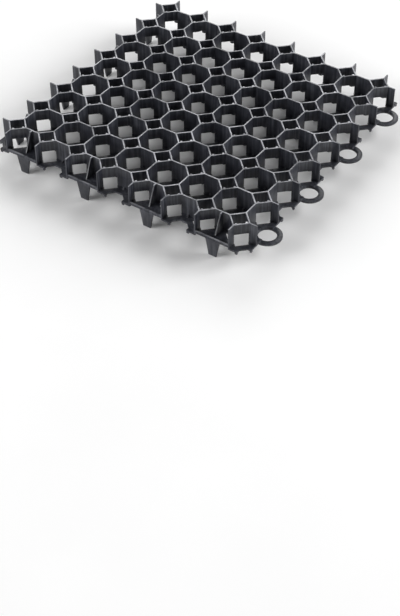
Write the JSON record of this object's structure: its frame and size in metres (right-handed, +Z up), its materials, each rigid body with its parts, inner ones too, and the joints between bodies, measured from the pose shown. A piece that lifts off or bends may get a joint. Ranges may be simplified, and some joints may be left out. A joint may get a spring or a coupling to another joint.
{
  "type": "grass paver grid",
  "caption": "Square plastic grass paver grid of open octagon cells with small squares between, tapered ground spikes on two sides and link rings on the other two.",
  "frame": {"origin": "middle of the bounding box's underside, level with the spike tips", "axes": "+X along one spiked side towards a ring side, +Y along the other spiked side towards the other ring side, +Z up to the rim"},
  "size_m": [0.524, 0.524, 0.069],
  "materials": {
    "black_plastic": "satin moulded black recycled plastic"
  },
  "bodies": {
    "root": {"grass_paver_grid": "black_plastic"}
  },
  "joints": []
}
